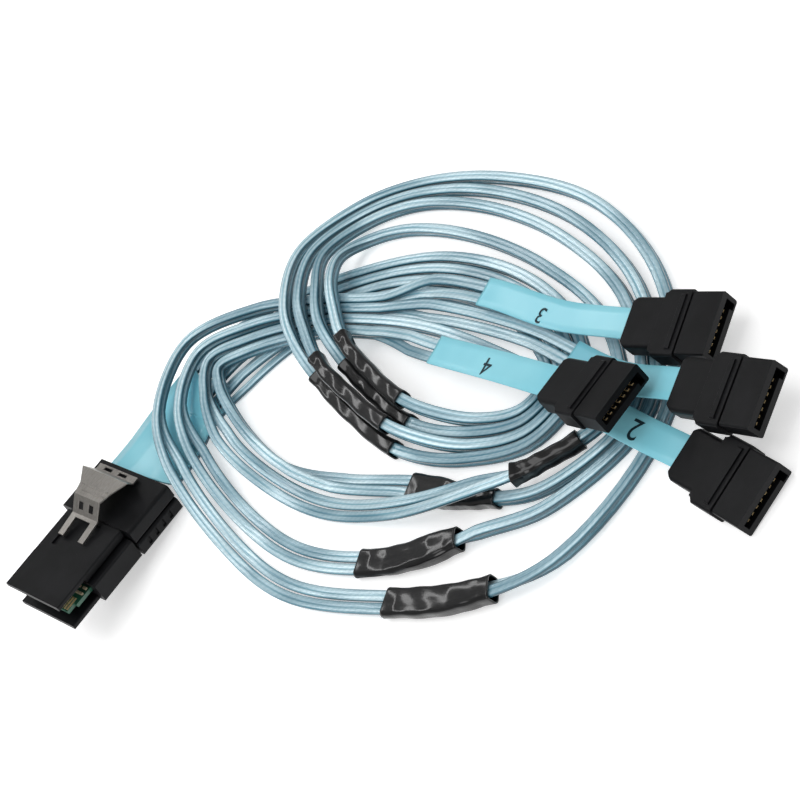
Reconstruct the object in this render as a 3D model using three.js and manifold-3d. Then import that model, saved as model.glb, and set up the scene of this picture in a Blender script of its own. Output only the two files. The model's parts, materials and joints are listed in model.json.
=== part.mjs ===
// Mini SAS breakout cable: one wide host plug, four cables of two flat ribbons each, four SATA plugs.
// Millimetres, +Z up, the table at z = 0 and the origin under the middle of the host plug.
import * as THREE from "three";
import Module from "manifold-3d";

const wasm = await Module();
wasm.setup();

// Clearance left between two pieces that meet.
const GAP = 0.3;
// How far fused blocks of one piece run into each other, and how far a cutter passes a face.
const JOIN = 1.0;
const PAST = 1.0;
const ROUND_SIDES = 16;

// Flat ribbon: two conductors side by side, so the section is a flat hexagon.
const RIBBON_WIDTH = 2.3;
const RIBBON_THICK = 1.0;
const RIBBON_FLAT = 0.72; // share of the width that has the full thickness

// A cable is a pair of ribbons. They lie side by side near a plug and one over the other elsewhere.
const PAIR_SPREAD = (RIBBON_WIDTH + GAP) / 2;
const PAIR_RISE = (RIBBON_THICK + GAP) / 2;

const SLEEVE_WALL = 0.3;
const SLEEVE_CORNER = 0.35;
const LABEL_THICK = 0.4;
const LABEL_WIDTH = 6.2;
const HOST_LABEL_MARGIN = 0.9; // film beyond the outermost ribbons

// SATA plug. Its own x runs to the mating face at 0, y to the left, z up from the nose's top.
const NOSE = { width: 12.15, thick: 4.0, length: 6.3, edge: 0.4 };
const COLLAR = { width: 13.0, thick: 4.3, length: 5.7, edge: 0.6, top: 0.15 };
const GRIP = { width: 10.1, thick: 3.9, length: 6.9, edge: 0.8, top: 0.05, corner: 1.1 };
const RIDGE = { setBack: 0.9, length: 1.0, inset: 1.2, depth: 1.0, rise: 0.35, edge: 0.3 };
const CORE = { width: 8.6, thick: 2.1, length: 4.2 };
const SLOT = { width: 10.5, height: 1.5, depth: 5.0, below: 1.25, key: 1.3, keyDrop: 2.35 };
const CONTACT = {
  count: 7, pitch: 1.27, width: 0.5, height: 0.35, length: 3.6, setBack: 1.1, sunk: 0.1, shift: 0.3,
};
const NOTCH = 0.9; // radius of the round notches in the collar
const SATA_LENGTH = NOSE.length + GAP + COLLAR.length + GRIP.length;
const SATA_AXIS = -2.05; // height of the cable's centre below the top of the nose

// Host plug. Its own x runs to the mating face at 0, y to the left, z up from the top plate.
const HOST = {
  noseWidth: 17.7, height: 8.0, length: 35.0, noseLength: 8.5, plate: 1.2, noseEdge: 0.3,
  blockWidth: 21.4, blockEnd: 21.1, blockTop: -2.2, blockEdge: 0.5, frontEdge: 0.4,
  rearWidth: 22.6, rearStart: 21.5, rearEdge: 0.8, split: -4.1,
};
const WAIST = { inset: 0.6, drop: 0.3, edge: 0.3 };
const GROOVE = { count: 4, first: 3.0, pitch: 2.4, length: 0.9, depth: 0.35, below: 0.9, above: 1.0 };
const RECESS = { end: -12.4, depth: 0.5 };
const CARD = {
  width: 16.2, thick: 1.0, top: -4.3, setBack: 1.6, length: 22.0, notchLength: 2.2, notchWidth: 0.9,
};
const CLAMP = { width: 19.4, height: 4.6, length: 9.2, edge: 0.5 };
const LATCH = {
  thick: 0.5, rear: -33.6, anchorEnd: -31.9, humpStart: -30.0, taper: -26.2, humpEnd: -23.4,
  frontFoot: -20.4, tip: -14.8, low: 0.55, humpHeight: 4.0, footHeight: 0.9, tipHeight: 0.2,
  wingRight: -9.1, wingLeft: 5.7, barLeft: 3.5, shoulder: 0.8, right: -5.4, left: 3.0,
  prong: 1.7, fork: 0.8,
};
const WINDOW = { width: 1.5, length: 1.3, inset: 2.55 };
const BAR_SLOT = { width: 2.6, length: 0.8, first: -5.6, second: -0.8 };
const RIB = { width: 0.45, sunk: 0.4, rise: 0.25, rear: -26.2, front: -24.8, inset: 1.5 };
const HOOK = { radius: 0.45, setBack: 1.6 };

// Where each plug lies: the top of its mating face, then its turn about z, y and x in degrees.
const PLACES = {
  host: { at: [-16.0, -0.9, 18.6], turn: [180, -14.5, -12.8] },
  a: { at: [66.2, -140.2, 8.2], turn: [-86.9, -0.2, 2.7] },
  b: { at: [53.2, -157.3, 10.2], turn: [-92.8, -3.7, 5.9] },
  c: { at: [49.0, -131.5, 14.2], turn: [-96.8, -8.3, -9.6] },
  d: { at: [38.5, -159.8, 4.65], turn: [-106.3, -0.2, 3.9] },
};

// The bundle's way round the two loops, from the host plug to where the cables part.
// Each row: x, y of the bundle, then for cables a, b, c and d the distance to its left,
// the height, and how far the pair is stacked: 0 side by side, 1 one over the other.
const BUNDLE = [
  [18.3, 0, 7.8, 7.2, 0, 2.6, 6.1, 0, -2.6, 5.0, 0, -7.8, 3.9, 0],
  [26, 0.5, 7.8, 5.0, 0, 2.6, 4.0, 0, -2.6, 2.9, 0, -7.8, 1.9, 0],
  [37, 2, 7.8, 1.8, 0, 2.6, 1.3, 0, -2.6, 0.8, 0, -7.8, 0.65, 0],
  [50, -5, 7.8, 1.3, 0.45, 2.6, 1.3, 0.45, -2.6, 1.3, 0.45, -7.8, 1.3, 0.45],
  [61.5, -18, 6, 1.3, 0.8, 2, 1.3, 0.8, -2, 1.3, 0.8, -6, 1.3, 0.8],
  [71.5, -37, 4.2, 1.3, 1, 1.4, 1.3, 1, -1.4, 1.3, 1, -4.2, 1.3, 1],
  [75.5, -58, 4.2, 1.3, 1, 1.4, 1.3, 1, -1.4, 1.3, 1, -4.2, 1.3, 1],
  [73, -80, 4.2, 1.3, 1, 1.4, 1.3, 1, -1.4, 1.3, 1, -4.2, 1.3, 1],
  [65.5, -97, 4.2, 1.3, 1, 1.4, 1.3, 1, -1.4, 1.3, 1, -4.2, 1.3, 1],
  [56, -105.5, 4.2, 1.3, 1, 1.4, 1.3, 1, -1.4, 1.3, 1, -4.2, 1.3, 1],
  [46, -102, 4.2, 1.3, 1, 1.4, 1.3, 1, -1.4, 1.3, 1, -4.2, 1.3, 1],
  [41, -89, 4.2, 1.5, 1, 1.4, 1.7, 1, -1.4, 1.5, 1, -4.2, 1.7, 1],
  [40.5, -73, 4.5, 2.0, 1, 1.5, 5.4, 1, -1.4, 2.0, 1, -4.3, 5.4, 1],
  [45.5, -56.5, 4.6, 2.0, 1, 1.5, 6.0, 1, -1.5, 2.0, 1, -4.8, 6.0, 1],
  [51.5, -42.5, 4.5, 2.8, 1, 1.4, 6.6, 1, -2.3, 4.2, 1, -5.8, 6.6, 1],
  [57.5, -34, 5, 6.0, 1, 1.4, 6.7, 1, -2.6, 6.9, 1, -6.8, 6.7, 1],
  [66, -26, 6.2, 6.6, 1, 2.1, 6.6, 1, -3.1, 6.6, 1, -7.2, 6.6, 1],
  [77, -21, 6.5, 5.2, 1, 1.8, 5.2, 1, -2.4, 5.0, 1, -7.8, 4.8, 1],
  [87.5, -26, 4.8, 2.0, 1, 1.6, 1.9, 1, -1.6, 1.9, 1, -7.4, 2.0, 1],
  [93.5, -40, 4.2, 1.3, 1, 1.4, 1.3, 1, -1.5, 1.3, 1, -7.8, 1.3, 1],
  [94, -63, 5.2, 1.3, 1, 1.8, 1.3, 1, -1.9, 1.3, 1, -8.8, 1.3, 1],
  [87, -91, 7, 1.3, 1, 2, 1.3, 1, -2.2, 1.3, 1, -8.8, 1.3, 1],
  [72.5, -114.5, 6, 1.3, 1, 1.6, 1.3, 1, -1.6, 1.3, 1, -6.8, 1.3, 1],
  [52, -126.5, 5.6, 1.3, 1, 1.6, 1.3, 1, -1.6, 1.3, 1, -5.8, 1.8, 1],
  [31, -116.5, 10.5, 1.9, 1, -1, 1.4, 1, -5, 1.5, 1, -8.8, 3.9, 1],
  [23, -102, 12, 2.1, 0.6, -0.5, 2.1, 1, -7.4, 2.0, 1, -8.4, 5.2, 0.5],
  [18, -81, 12, 1.4, 0, 3.6, 1.4, 0, -11.8, 1.4, 0, -6.6, 3.2, 0],
  [15.5, -57, 11.4, 0.65, 0, 4.1, 0.65, 0, -12, 1.3, 0.5, -6.6, 0.65, 0],
  [19, -36, 9.6, 1.1, 0, 3.3, 0.9, 0, -10, 1.3, 1, -5.8, 0.9, 0],
  [27, -15.5, 7.2, 6.2, 0.4, 2, 4.0, 0.4, -9.4, 2.2, 1, -4.8, 3.1, 0.4],
  [38, -1, 7.6, 7.2, 1, 2.4, 5.6, 1, -8.6, 4.0, 1, -4.4, 4.4, 1],
  [50, 4, 7.8, 4.8, 1, 1.6, 4.4, 1, -8.6, 3.9, 1, -3.4, 3.9, 1],
  [57, -9, 6, 4.0, 1, 1.6, 4.0, 1, -5.6, 4.0, 1, -2.4, 4.0, 1],
  [62, -29, 4.2, 4.0, 1, 1.4, 4.0, 1, -4.2, 4.0, 1, -1.4, 4.0, 1],
  [64, -50, 4.2, 4.0, 1, 1.4, 4.0, 1, -4.2, 4.0, 1, -1.4, 4.0, 1],
];

// The last stretch of each cable, alone, to the back of its SATA plug: x, y, z, stacked.
const TAILS = {
  a: [[71.4, -62, 4.2, 0.5], [70.2, -80, 4.8, 0], [66.2, -102.4, 5.3, 0]],
  b: [[66, -66, 3.6, 0.4], [62.9, -94, 3.2, 0], [56.2, -119.5, 3.6, 0]],
  c: [[56.5, -72.4, 5.7, 0.2], [53.9, -94, 6.9, 0]],
  d: [[61.7, -70, 4.0, 1], [55.8, -99, 4.0, 1], [50, -117, 4.8, 0], [46.6, -130, 3.6, 0]],
};

// Rubber sleeves, as stretches of the rows above, counted from the host plug.
const SLEEVES = {
  a: [[12.1, 14.2], [24.75, 25.85]],
  b: [[12.2, 14.2], [25.2, 26.3]],
  c: [[12.1, 13.8], [24.75, 26.0]],
  d: [[12.2, 14.1], [23.5, 24.35]],
};
const HOST_LABEL_ROWS = [0.1, 0.5, 1, 1.5, 2, 2.5];
const LABEL_LENGTHS = { a: 41, b: 31, c: 37.5, d: 24 };

// Sections per row of a ribbon, sections along a sleeve, and the share of a row that its bore
// passes each end by.
const STEPS_PER_ROW = 2;
const SLEEVE_STEPS = 7;
const BORE_STEPS = 9;
const BORE_PAST = 0.05;
const CABLES = ["a", "b", "c", "d"];
const { degToRad } = THREE.MathUtils;

const material = (color) => new THREE.MeshStandardMaterial({ color, roughness: 0.5 });
const BLACK = material(0x202022);
const RUBBER = material(0x18181a);
const STEEL = material(0x9a9790);
const GREEN = material(0x2f6b45);
const INSULATION = material(0xa9c4d0);
const PAPER = material(0x8cdef0);

// Solids and meshes.

// A three.js geometry as a manifold-3d solid.
function solidOf(geometry) {
  const flat = geometry.index ? geometry.toNonIndexed() : geometry;
  const mesh = new wasm.Mesh({
    numProp: 3,
    vertProperties: new Float32Array(flat.attributes.position.array),
    triVerts: Uint32Array.from({ length: flat.attributes.position.count }, (_, i) => i),
  });
  mesh.merge();
  return new wasm.Manifold(mesh);
}

// A manifold-3d solid as a named three.js mesh.
function meshOf(name, solid, look) {
  const { numProp, vertProperties, triVerts } = solid.getMesh();
  const geometry = new THREE.BufferGeometry();
  const positions = new THREE.InterleavedBuffer(vertProperties, numProp);
  geometry.setAttribute("position", new THREE.InterleavedBufferAttribute(positions, 3, 0));
  geometry.setIndex(new THREE.BufferAttribute(triVerts, 1));
  const plain = geometry.toNonIndexed();
  plain.computeVertexNormals();
  const mesh = new THREE.Mesh(plain, look);
  mesh.name = name;
  return mesh;
}

const box = ([x0, x1], [y0, y1], [z0, z1]) =>
  wasm.Manifold.cube([x1 - x0, y1 - y0, z1 - z0]).translate([x0, y0, z0]);

// A block along x, centred on y = 0, with its long edges rounded.
function block([x0, x1], width, [z0, z1], radius) {
  const w = width / 2;
  const shape = new THREE.Shape();
  shape.moveTo(-w + radius, z0);
  shape.lineTo(w - radius, z0);
  shape.absarc(w - radius, z0 + radius, radius, -Math.PI / 2, 0);
  shape.absarc(w - radius, z1 - radius, radius, 0, Math.PI / 2);
  shape.absarc(-w + radius, z1 - radius, radius, Math.PI / 2, Math.PI);
  shape.absarc(-w + radius, z0 + radius, radius, Math.PI, Math.PI * 1.5);
  const geometry = new THREE.ExtrudeGeometry(shape, {
    depth: x1 - x0, bevelEnabled: false, curveSegments: 3,
  });
  // The shape's x becomes y, its y becomes z, and the extrusion runs along x.
  geometry.applyMatrix4(new THREE.Matrix4().set(0, 0, 1, x0, 1, 0, 0, 0, 0, 1, 0, 0, 0, 0, 0, 1));
  return solidOf(geometry);
}

const union = (...solids) => wasm.Manifold.union(solids);

// A profile in x and z, given thickness by its outline, extruded across y.
function across(points, [y0, y1]) {
  const shape = new THREE.Shape(points.map(([x, z]) => new THREE.Vector2(x, z)));
  const geometry = new THREE.ExtrudeGeometry(shape, { depth: y1 - y0, bevelEnabled: false });
  geometry.applyMatrix4(new THREE.Matrix4().set(1, 0, 0, 0, 0, 0, -1, y1, 0, 1, 0, 0, 0, 0, 0, 1));
  return solidOf(geometry);
}

// An outline in x and y, given height.
function plate(points, [z0, z1]) {
  const shape = new THREE.Shape(points.map(([x, y]) => new THREE.Vector2(x, y)));
  const geometry = new THREE.ExtrudeGeometry(shape, { depth: z1 - z0, bevelEnabled: false });
  return solidOf(geometry.translate(0, 0, z0));
}

// SATA plug.

// The nose: a block with an L-shaped slot, and seven contacts on the slot's lower wall.
function sataHousing() {
  const { width, thick, length } = NOSE;
  const slotTop = -SLOT.below;
  const slotFloor = slotTop - SLOT.height;
  const keyFloor = slotTop - SLOT.keyDrop;
  const half = SLOT.width / 2;
  let body = block([-length, 0], width, [-thick, 0], NOSE.edge);
  // The core reaches back into the cover.
  const coreTop = SATA_AXIS + CORE.thick / 2;
  body = union(body, box(
    [-length - CORE.length, -length + JOIN], [-CORE.width / 2, CORE.width / 2],
    [coreTop - CORE.thick, coreTop],
  ));
  const slot = union(
    box([-SLOT.depth, PAST], [-half, half], [slotFloor, slotTop]),
    box([-SLOT.depth, PAST], [half - SLOT.key, half], [keyFloor, slotTop]),
  );
  body = body.subtract(slot);
  const first = (-(CONTACT.count - 1) / 2) * CONTACT.pitch - CONTACT.shift;
  for (let i = 0; i < CONTACT.count; i += 1) {
    const y = first + i * CONTACT.pitch;
    body = body.add(box(
      [-CONTACT.setBack - CONTACT.length, -CONTACT.setBack],
      [y - CONTACT.width / 2, y + CONTACT.width / 2],
      [slotFloor - CONTACT.sunk, slotFloor + CONTACT.height],
    ));
  }
  return body;
}

// The moulded cover: a wide collar with stepped, round notched ends, and a narrower grip behind it.
function sataCover() {
  const front = -NOSE.length - GAP;
  const seam = front - COLLAR.length;
  const back = seam - GRIP.length;
  const { top } = COLLAR;
  const collar = block([seam, front], COLLAR.width, [top - COLLAR.thick, top], COLLAR.edge);
  const gripFloor = GRIP.top - GRIP.thick;
  const grip = block([back, seam + JOIN], GRIP.width, [gripFloor, GRIP.top], GRIP.edge);
  // The ridge across the collar.
  const ridgeFront = front - RIDGE.setBack;
  const ridge = block(
    [ridgeFront - RIDGE.length, ridgeFront], COLLAR.width - 2 * RIDGE.inset,
    [top - RIDGE.depth, top + RIDGE.rise], RIDGE.edge,
  );
  let body = union(collar, grip, ridge);
  for (const side of [-1, 1]) {
    const notch = wasm.Manifold.cylinder(COLLAR.thick + 2 * PAST, NOTCH, NOTCH, ROUND_SIDES)
      .translate([seam, side * COLLAR.width / 2, top - COLLAR.thick - PAST]);
    // The grip's rear corners slope in, cut by a square post that stands on its edge.
    const corner = wasm.Manifold.cylinder(GRIP.thick + 2 * PAST, GRIP.corner, GRIP.corner, 4)
      .translate([back, side * GRIP.width / 2, gripFloor - PAST]);
    body = body.subtract(notch).subtract(corner);
  }
  const pocket = [CORE.width / 2 + GAP, CORE.thick / 2 + GAP];
  return body.subtract(box(
    [front - CORE.length - GAP, front + PAST], [-pocket[0], pocket[0]],
    [SATA_AXIS - pocket[1], SATA_AXIS + pocket[1]],
  ));
}

// Host plug.

const rearSpan = [-HOST.length, -HOST.rearStart];
const waistSpan = [-HOST.rearStart - JOIN, -HOST.blockEnd + JOIN];
const blockSpan = [-HOST.blockEnd, -HOST.noseLength];
const clampBack = -HOST.length;
const clampFront = clampBack + CLAMP.length;
const cardBack = -CARD.setBack - CARD.length;
const cardFloor = CARD.top - CARD.thick;
const clampMiddle = CARD.top - CARD.thick / 2;

// Room for the card and the clamp, taken out of both shells. The front blocks stand clear of the
// nose's gap, so the card's room ends a hair past them.
function hostCavity() {
  const hair = GAP / 30;
  const w = CARD.width / 2 + GAP;
  const cw = CLAMP.width / 2 + GAP;
  const ch = CLAMP.height / 2 + GAP;
  return union(
    box([cardBack - GAP, -HOST.noseLength + hair], [-w, w], [cardFloor - GAP, CARD.top + GAP]),
    box([clampBack - PAST, clampFront + GAP], [-cw, cw], [clampMiddle - ch, clampMiddle + ch]),
  );
}

// Plates of the nose stand clear of the card, and the gap between them runs out at both sides.
function nosePlate(z0, z1) {
  return block([-HOST.noseLength - JOIN, 0], HOST.noseWidth, [z0, z1], HOST.noseEdge);
}

function lowerShell() {
  const { height, plate, blockWidth, blockTop, blockEdge, rearWidth, rearEdge, split } = HOST;
  const floor = -height;
  const front = block(blockSpan, blockWidth, [floor, blockTop - GAP], blockEdge);
  const rear = block(rearSpan, rearWidth, [floor, split - GAP / 2], rearEdge);
  const waist = block(
    waistSpan, HOST.noseWidth, [floor + WAIST.drop, split - GAP / 2], WAIST.edge,
  );
  let body = union(front, rear, waist, nosePlate(floor, floor + plate)).subtract(hostCavity());
  // Grip grooves across each side of the rear block.
  for (let i = 0; i < GROOVE.count; i += 1) {
    const x = -HOST.length + GROOVE.first + i * GROOVE.pitch;
    for (const side of [-1, 1]) {
      const y = side * (rearWidth / 2);
      body = body.subtract(box(
        [x, x + GROOVE.length], [y - GROOVE.depth, y + GROOVE.depth],
        [floor + GROOVE.above, split - GROOVE.below],
      ));
    }
  }
  return body;
}

function upperShell() {
  const { plate, noseWidth, blockTop, rearWidth, rearEdge, split } = HOST;
  const front = block(blockSpan, noseWidth, [blockTop, 0], HOST.frontEdge);
  const rear = block(rearSpan, rearWidth, [split + GAP / 2, 0], rearEdge);
  const waist = block(
    waistSpan, noseWidth - 2 * WAIST.inset, [blockTop, -WAIST.drop], WAIST.edge,
  );
  const body = union(front, rear, waist, nosePlate(-plate, 0)).subtract(hostCavity());
  // A shallow recess takes the latch's two prongs.
  return body.subtract(box(
    [LATCH.frontFoot, RECESS.end], [LATCH.right - GAP, LATCH.left + GAP], [-RECESS.depth, PAST],
  ));
}

// The sprung latch: a steel strip bent to a hump that a finger presses, wide at the rear.
function latchSpring() {
  const { thick, rear, anchorEnd, humpStart, taper, humpEnd, humpHeight } = LATCH;
  const { frontFoot, tip, tipHeight, low, footHeight, prong, shoulder } = LATCH;
  const { wingRight, wingLeft, barLeft, right, left } = LATCH;
  const through = [-humpHeight, 2 * humpHeight];
  const line = [
    [rear, low], [anchorEnd, low], [humpStart, humpHeight],
    [humpEnd, humpHeight], [frontFoot, footHeight], [tip, tipHeight],
  ];
  const lift = ([x, z]) => [x, z + thick];
  const plan = [
    [rear, wingRight], [humpStart, wingRight], [taper, right - shoulder], [humpEnd, right],
    [tip, right], [tip, left], [humpEnd, left], [taper, left + shoulder],
    [humpStart, wingLeft], [anchorEnd, barLeft], [rear, barLeft],
  ];
  let body = across([...line, ...line.map(lift).reverse()], [wingRight, wingLeft])
    .intersect(plate(plan, through));
  // Two raised ribs cross the hump.
  for (const [x, inset] of [[RIB.rear, 0], [RIB.front, RIB.inset]]) {
    body = body.add(box(
      [x - RIB.width / 2, x + RIB.width / 2], [right + inset, left],
      [humpHeight + thick - RIB.sunk, humpHeight + thick + RIB.rise],
    ));
  }
  // Two slots in the rear bar.
  const slotX = (rear + anchorEnd) / 2;
  for (const y of [BAR_SLOT.first, BAR_SLOT.second]) {
    body = body.subtract(box(
      [slotX - BAR_SLOT.length / 2, slotX + BAR_SLOT.length / 2],
      [y - BAR_SLOT.width / 2, y + BAR_SLOT.width / 2], through,
    ));
  }
  // Two windows in the front plate, and a round hole through each prong.
  const windowX = (humpEnd + frontFoot) / 2;
  for (const [edge, inwards] of [[right, 1], [left, -1]]) {
    const y = edge + inwards * WINDOW.inset;
    const opening = box(
      [windowX - WINDOW.length / 2, windowX + WINDOW.length / 2],
      [y - WINDOW.width / 2, y + WINDOW.width / 2], through,
    );
    const hole = wasm.Manifold.cylinder(2 * humpHeight, HOOK.radius, HOOK.radius, ROUND_SIDES)
      .translate([tip + HOOK.setBack, edge + (inwards * prong) / 2, -humpHeight]);
    body = body.subtract(opening).subtract(hole);
  }
  const fork = [frontFoot + LATCH.fork, tip + PAST];
  return body.subtract(box(fork, [right + prong, left - prong], through));
}

function paddleCard() {
  const w = CARD.width / 2;
  const notch = box(
    [-CARD.setBack - CARD.notchLength, 0], [w - CARD.notchWidth, w + PAST],
    [cardFloor - PAST, CARD.top + PAST],
  );
  return box([cardBack, -CARD.setBack], [-w, w], [cardFloor, CARD.top]).subtract(notch);
}

function cableClamp() {
  const h = CLAMP.height / 2;
  const span = [clampBack + GAP, clampFront];
  const body = block(span, CLAMP.width, [clampMiddle - h, clampMiddle + h], CLAMP.edge);
  // The card's tail sits in a slot in the clamp's front.
  const w = CARD.width / 2 + GAP;
  return body.subtract(box([cardBack - GAP, 0], [-w, w], [cardFloor - GAP, CARD.top + GAP]));
}

// Cable routes.

// The four cables' centre points: the bundle's rows moved sideways, then each cable's own tail.
function cablePoints(index) {
  const id = CABLES[index];
  const at = BUNDLE.map(([x, y]) => new THREE.Vector2(x, y));
  const points = at.map((here, i) => {
    const before = at[Math.max(i - 1, 0)];
    const after = at[Math.min(i + 1, at.length - 1)];
    const into = here.clone().sub(before);
    const out = after.clone().sub(here);
    // The direction at a row leans towards its shorter neighbour.
    const way = into.clone().multiplyScalar(out.length() / (into.length() || 1))
      .add(out.clone().multiplyScalar(into.length() / (out.length() || 1)));
    if (i === 0) way.copy(out);
    if (i === at.length - 1) way.copy(into);
    way.normalize();
    const own = 2 + index * 3;
    const [left, height, stacked] = BUNDLE[i].slice(own, own + 3);
    return [here.x - way.y * left, here.y + way.x * left, height, stacked];
  });
  const back = new THREE.Vector3(-SATA_LENGTH - 2 * GAP, 0, SATA_AXIS).applyMatrix4(placeOf(id));
  return [...points, ...TAILS[id], [back.x, back.y, back.z, 0]];
}

// A cable's centre line, with a level frame at every point so that the flat ribbons never roll.
class Route {
  constructor(rows) {
    this.last = rows.length - 1;
    this.rows = rows;
    this.curve = new THREE.CatmullRomCurve3(rows.map(([x, y, z]) => new THREE.Vector3(x, y, z)));
  }

  // The point, level side, up and stacking at a row number, which need not be whole.
  at(row) {
    const t = THREE.MathUtils.clamp(row / this.last, 0, 1);
    const point = this.curve.getPoint(t);
    const ahead = this.curve.getTangent(t);
    const side = new THREE.Vector3(-ahead.y, ahead.x, 0).normalize();
    const up = new THREE.Vector3().crossVectors(ahead, side);
    const i = Math.min(Math.floor(row), this.last - 1);
    const stacked = THREE.MathUtils.lerp(this.rows[i][3], this.rows[i + 1][3], row - i);
    return {
      point, side, up,
      spread: PAIR_SPREAD * Math.min(1, 2 - 2 * stacked),
      rise: PAIR_RISE * Math.min(1, 2 * stacked),
    };
  }

  // The row at a distance back from the end of the cable.
  rowBefore(distance) {
    const step = 1 / 20;
    let row = this.last;
    let left = distance;
    let here = this.at(row).point;
    while (left > 0 && row > 0) {
      row -= step;
      const next = this.at(row).point;
      left -= next.distanceTo(here);
      here = next;
    }
    return row;
  }
}

const routes = {};

// The rows at which a piece along a cable has its sections.
const rowsFrom = (start, end, count) =>
  Array.from({ length: count + 1 }, (_, i) => start + ((end - start) * i) / count);

// A closed body through rings of points, each ring a list of [side, up] pairs about a frame.
function sweep(frames, ringAt) {
  const turned = frames.map((frame) => {
    const ring = ringAt(frame).map(([s, u]) => new THREE.Vector2(s, u));
    return THREE.ShapeUtils.isClockWise(ring) ? ring.reverse() : ring;
  });
  const rings = turned.map((ring, i) => ring.map(({ x, y }) =>
    frames[i].point.clone().addScaledVector(frames[i].side, x).addScaledVector(frames[i].up, y)));
  const size = rings[0].length;
  const vertices = rings.flat().flatMap((p) => [p.x, p.y, p.z]);
  const triangles = [];
  for (let r = 0; r + 1 < rings.length; r += 1) {
    for (let k = 0; k < size; k += 1) {
      const a = r * size + k;
      const b = r * size + ((k + 1) % size);
      triangles.push(a, b, b + size, a, b + size, a + size);
    }
  }
  // Flat caps, cut by three.js so that a ring need not be convex.
  const cap = THREE.ShapeUtils.triangulateShape(turned[0], []);
  const end = (rings.length - 1) * size;
  for (const [a, b, c] of cap) {
    triangles.push(a, c, b, end + a, end + b, end + c);
  }
  return new wasm.Manifold(new wasm.Mesh({
    numProp: 3,
    vertProperties: new Float32Array(vertices),
    triVerts: new Uint32Array(triangles),
  }));
}

const rectangle = (width, low, high) =>
  [[-width / 2, low], [-width / 2, high], [width / 2, high], [width / 2, low]];

// One ribbon of a pair: the first lies to the left and above, the second to the right and below.
function ribbon(route, which) {
  const frames = rowsFrom(0, route.last, route.last * STEPS_PER_ROW).map((row) => route.at(row));
  const w = RIBBON_WIDTH / 2;
  const t = RIBBON_THICK / 2;
  const flat = w * RIBBON_FLAT;
  return sweep(frames, ({ spread, rise }) => [
    [-w, 0], [-flat, t], [flat, t], [w, 0], [flat, -t], [-flat, -t],
  ].map(([s, u]) => [s + which * spread, u + which * rise]));
}

// A rubber sleeve round both ribbons, wider where they lie side by side.
function sleeve(route, [start, end]) {
  const frames = rowsFrom(start, end, SLEEVE_STEPS).map((row) => route.at(row));
  const ring = (wall) => ({ spread, rise }) => {
    const w = spread + RIBBON_WIDTH / 2 + GAP + wall;
    const h = rise + RIBBON_THICK / 2 + GAP + wall;
    const cut = SLEEVE_CORNER;
    return [
      [-w, -h + cut], [-w, h - cut], [-w + cut, h], [w - cut, h],
      [w, h - cut], [w, -h + cut], [w - cut, -h], [-w + cut, -h],
    ];
  };
  const bore = rowsFrom(start - BORE_PAST, end + BORE_PAST, BORE_STEPS).map((row) => route.at(row));
  return sweep(frames, ring(SLEEVE_WALL)).subtract(sweep(bore, ring(0)));
}

// A cable's label, a strip of film that lies on both ribbons up to the plug.
function label(route, length) {
  const start = route.rowBefore(length);
  const end = route.rowBefore(GAP * 2);
  const steps = Math.ceil((end - start) * STEPS_PER_ROW * 2);
  const frames = rowsFrom(start, end, steps).map((row) => route.at(row));
  return sweep(frames, ({ rise }) => {
    const low = rise + RIBBON_THICK / 2 + GAP;
    return rectangle(LABEL_WIDTH, low, low + LABEL_THICK);
  });
}

// The host plug's wide label, a strip over all eight ribbons that follows their heights.
function hostLabel() {
  const low = RIBBON_THICK / 2 + GAP;
  const reach = PAIR_SPREAD + RIBBON_WIDTH / 2 + HOST_LABEL_MARGIN;
  const frames = HOST_LABEL_ROWS.map((row) => {
    const [first, ...rest] = CABLES.map((id) => routes[id].at(row));
    return { ...first, others: [first, ...rest] };
  });
  return sweep(frames, (frame) => {
    const local = frame.others.map(({ point, rise }) => {
      const away = point.clone().sub(frame.point);
      return [away.dot(frame.side), away.dot(frame.up) + rise + low];
    });
    // The film rests on the ribbons' edges, so it is lifted where it slants.
    const slant = Math.abs((local[0][1] - local[3][1]) / (local[0][0] - local[3][0]));
    const lift = slant * (PAIR_SPREAD + RIBBON_WIDTH / 2);
    local.forEach((place) => { place[1] += lift; });
    const left = [local[0][0] + reach, local[0][1]];
    const right = [local[3][0] - reach, local[3][1]];
    const bottom = [right, ...local.reverse(), left];
    const top = bottom.map(([s, u]) => [s, u + LABEL_THICK]).reverse();
    return [...top, ...bottom];
  });
}

// Assembly.

function placeOf(id) {
  const { at, turn } = PLACES[id];
  const [z, y, x] = turn.map(degToRad);
  const spin = new THREE.Quaternion().setFromEuler(new THREE.Euler(x, y, z, "ZYX"));
  return new THREE.Matrix4().compose(new THREE.Vector3(...at), spin, new THREE.Vector3(1, 1, 1));
}

function group(name, meshes, id) {
  const made = new THREE.Group();
  made.name = name;
  made.add(...meshes);
  if (id) made.applyMatrix4(placeOf(id));
  return made;
}

const assembly = new THREE.Group();
assembly.name = "mini_sas_breakout_cable";

assembly.add(group("host_plug", [
  meshOf("upper_shell", upperShell(), BLACK),
  meshOf("lower_shell", lowerShell(), BLACK),
  meshOf("paddle_card", paddleCard(), GREEN),
  meshOf("cable_clamp", cableClamp(), BLACK),
  meshOf("latch_spring", latchSpring(), STEEL),
], "host"));

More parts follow.
